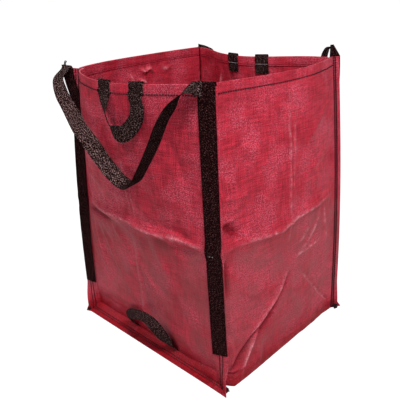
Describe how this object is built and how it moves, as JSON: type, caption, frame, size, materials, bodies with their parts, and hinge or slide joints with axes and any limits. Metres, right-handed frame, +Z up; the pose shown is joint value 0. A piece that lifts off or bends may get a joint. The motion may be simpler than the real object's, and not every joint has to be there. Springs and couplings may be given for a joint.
{
  "type": "garden waste bag",
  "caption": "Tall square-bottomed woven garden waste bag that stands open, with webbing over its corner seams, long lift loops, rim handles and a bottom handle.",
  "frame": {"origin": "on the floor under the middle of the bag's footprint", "axes": "+Z up, -Y out of the front panel, the one with the bottom handle, and +X to the right of someone who looks at that panel"},
  "size_m": [0.5987, 0.6416, 0.77],
  "materials": {
    "woven_fabric": "satin",
    "webbing": "matte",
    "thread": "matte"
  },
  "bodies": {
    "bag": {"front_panel": "woven_fabric", "back_panel": "woven_fabric", "u_panel": "woven_fabric", "front_left_webbing": "webbing", "front_right_webbing": "webbing", "back_right_webbing": "webbing", "back_left_webbing": "webbing", "front_rim_handle_left_tail": "webbing", "front_rim_handle_right_tail": "webbing", "back_rim_handle_left_tail": "webbing", "back_rim_handle_right_tail": "webbing", "bottom_handle_left_end": "webbing", "bottom_handle_right_end": "webbing", "front_seam_inner_thread": "thread", "front_seam_outer_thread": "thread", "back_seam_inner_thread": "thread", "back_seam_outer_thread": "thread", "front_hem_thread": "thread", "back_hem_thread": "thread", "left_hem_thread": "thread", "right_hem_thread": "thread"},
    "front_lift_loop_body": {"front_lift_loop": "webbing"},
    "back_lift_loop_body": {"back_lift_loop": "webbing"},
    "front_rim_handle_body": {"front_rim_handle": "webbing"},
    "back_rim_handle_body": {"back_rim_handle": "webbing"},
    "bottom_handle_body": {"bottom_handle": "webbing"}
  },
  "joints": [
    {"name": "front_lift_loop_swing", "type": "hinge", "parent": "bag", "child": "front_lift_loop_body", "pos_m": [-0.00454, -0.24994, 0.7385], "axis": [-0.9998, -0.0222, 0], "range_deg": [0, 165]},
    {"name": "back_lift_loop_swing", "type": "hinge", "parent": "bag", "child": "back_lift_loop_body", "pos_m": [-0.04748, 0.26372, 0.75575], "axis": [0.9976, -0.0593, 0.0359], "range_deg": [0, 165]},
    {"name": "front_rim_handle_swing", "type": "hinge", "parent": "bag", "child": "front_rim_handle_body", "pos_m": [0.03104, -0.29353, 0.71831], "axis": [-0.9869, -0.1606, -0.0161], "range_deg": [0, 165]},
    {"name": "back_rim_handle_swing", "type": "hinge", "parent": "bag", "child": "back_rim_handle_body", "pos_m": [-0.02131, 0.19963, 0.71889], "axis": [0.9916, 0.129, 0.0018], "range_deg": [0, 165]},
    {"name": "bottom_handle_swing", "type": "hinge", "parent": "bag", "child": "bottom_handle_body", "pos_m": [-0.00468, -0.23609, 0.02232], "axis": [0.9992, 0.0396, -0.002], "range_deg": [0, 66]}
  ]
}
